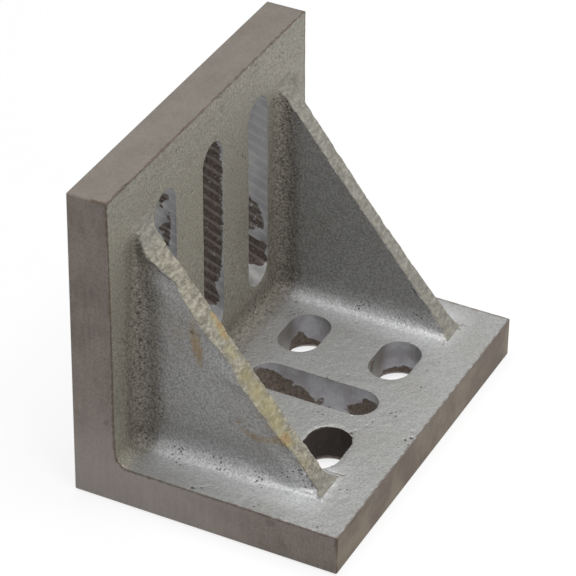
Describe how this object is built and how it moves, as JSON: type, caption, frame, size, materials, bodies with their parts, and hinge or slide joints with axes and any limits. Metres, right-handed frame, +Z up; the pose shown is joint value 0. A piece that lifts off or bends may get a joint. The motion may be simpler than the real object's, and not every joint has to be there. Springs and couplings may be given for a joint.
{
  "type": "angle plate",
  "caption": "L-shaped iron angle plate with a web near each end, long slots up the upright and short and long slots in the base.",
  "frame": {"origin": "middle of the footprint, on the ground underside of the base", "axes": "+Z up; +X along the width, end face to end face; +Y from the front edge of the base to the back face of the upright"},
  "size_m": [0.089, 0.0624, 0.0755],
  "materials": {
    "casting": "satin"
  },
  "bodies": {
    "root": {"angle_plate": "casting"}
  },
  "joints": []
}
